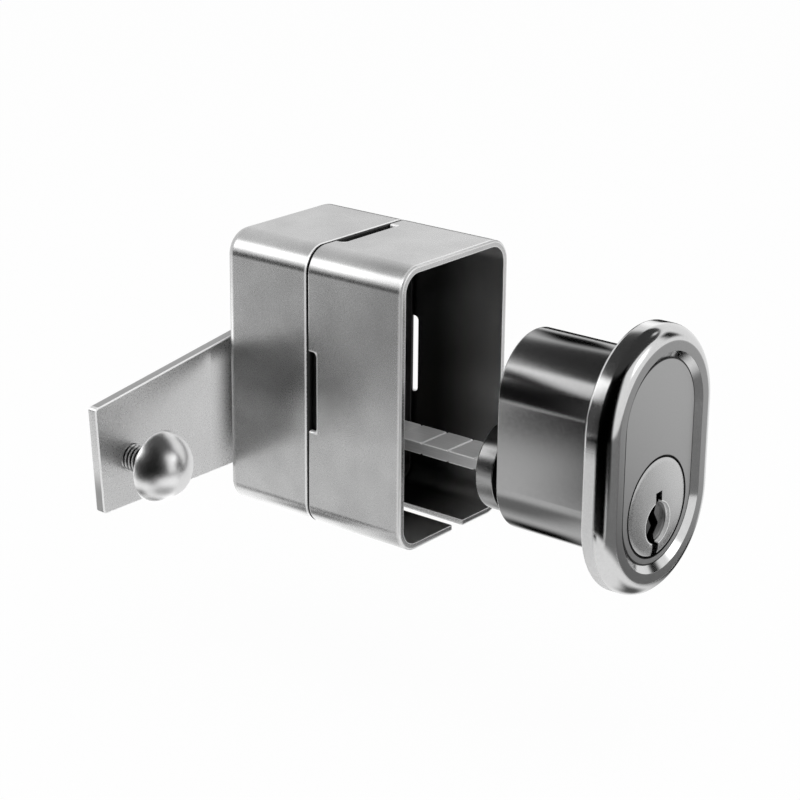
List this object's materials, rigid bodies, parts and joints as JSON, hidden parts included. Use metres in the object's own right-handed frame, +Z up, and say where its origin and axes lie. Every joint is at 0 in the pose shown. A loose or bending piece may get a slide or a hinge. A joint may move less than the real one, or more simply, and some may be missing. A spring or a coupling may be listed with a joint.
{
  "type": "surface lock case",
  "caption": "Two-part steel lock case behind a door, turned by an oval pin cylinder through a flat tail bar, with a swinging locking arm and domed adjusting stud.",
  "frame": {"origin": "point where the plug's axis meets the plane of the case's open front, the door's inner face", "axes": "+X right as seen from the key side, +Y from the key side towards the back of the case along the plug's axis, +Z up"},
  "size_m": [0.0725, 0.1106, 0.062],
  "materials": {
    "satin_steel": "fine satin, bright rounded edges",
    "zinc_plated_steel": "bright zinc plate",
    "sintered_bronze": "plain turned",
    "spring_steel": "oil-blacked",
    "hardened_steel": "ground",
    "polished_steel": "polished dome",
    "bar_steel": "cold drawn, scored across",
    "dark_chrome": "mirror-polished dark chrome plate",
    "pin_brass": "turned brass",
    "satin_nickel": "fine satin face"
  },
  "bodies": {
    "case": {"rear_cover": "satin_steel", "chassis_plate": "zinc_plated_steel", "chassis_pillars": "zinc_plated_steel", "chassis_screws": "zinc_plated_steel", "plate_bush": "sintered_bronze", "cover_bush": "sintered_bronze", "spring_washer": "spring_steel", "stop_pin": "hardened_steel"},
    "ring": {"front_ring": "satin_steel"},
    "hub": {"drive_hub": "hardened_steel", "arm_spacer": "zinc_plated_steel", "locking_arm": "satin_steel", "arm_washer": "zinc_plated_steel", "arm_screw": "zinc_plated_steel", "stud_nut": "zinc_plated_steel"},
    "cap": {"stud_cap": "polished_steel"},
    "stud": {"threaded_stud": "zinc_plated_steel"},
    "cylinder": {"cylinder_body": "dark_chrome", "cylinder_collar": "dark_chrome", "collar_clip": "spring_steel", "spring_cover": "pin_brass", "pin_springs": "spring_steel"},
    "plug": {"plug": "satin_nickel", "key_pins": "pin_brass", "retaining_ring": "spring_steel", "driver_disc": "dark_chrome", "driver_screws": "zinc_plated_steel", "tail_bar": "bar_steel"},
    "drivers": {"driver_pins": "hardened_steel"}
  },
  "joints": [
    {"name": "cylinder_draw", "type": "slide", "parent": "case", "child": "cylinder", "axis": [0, 1, 0], "range_m": [-0.006, 0.008]},
    {"name": "ring_release", "type": "slide", "parent": "case", "child": "ring", "axis": [0, -1, 0], "range_m": [0, 0.01]},
    {"name": "plug_turn", "type": "hinge", "parent": "cylinder", "child": "plug", "pos_m": [0, -0.035, 0], "axis": [0, -1, 0], "range_deg": [0, 90]},
    {"name": "arm_turn", "type": "hinge", "parent": "case", "child": "hub", "pos_m": [0, 0.037, 0], "axis": [0, -1, 0], "range_deg": [0, 90]},
    {"name": "stud_travel", "type": "slide", "parent": "hub", "child": "cap", "axis": [0, -1, 0], "range_m": [-0.002, 0.003]},
    {"name": "stud_turn", "type": "hinge", "parent": "cap", "child": "stud", "pos_m": [-0.0435, 0.05, -0.002], "axis": [0, -1, 0], "range_deg": [-720, 1080]},
    {"name": "pin_lift", "type": "slide", "parent": "cylinder", "child": "drivers", "axis": [0, 0, 1], "range_m": [0, 0.0015], "stiffness_N_per_m": 250, "springref_m": -0.003, "deforming": ["pin_springs"]}
  ],
  "couplings": [
    {"joint": "arm_turn", "follows": "plug_turn", "ratio": 1},
    {"joint": "stud_turn", "follows": "stud_travel", "rad_per_m": 6283.2}
  ]
}
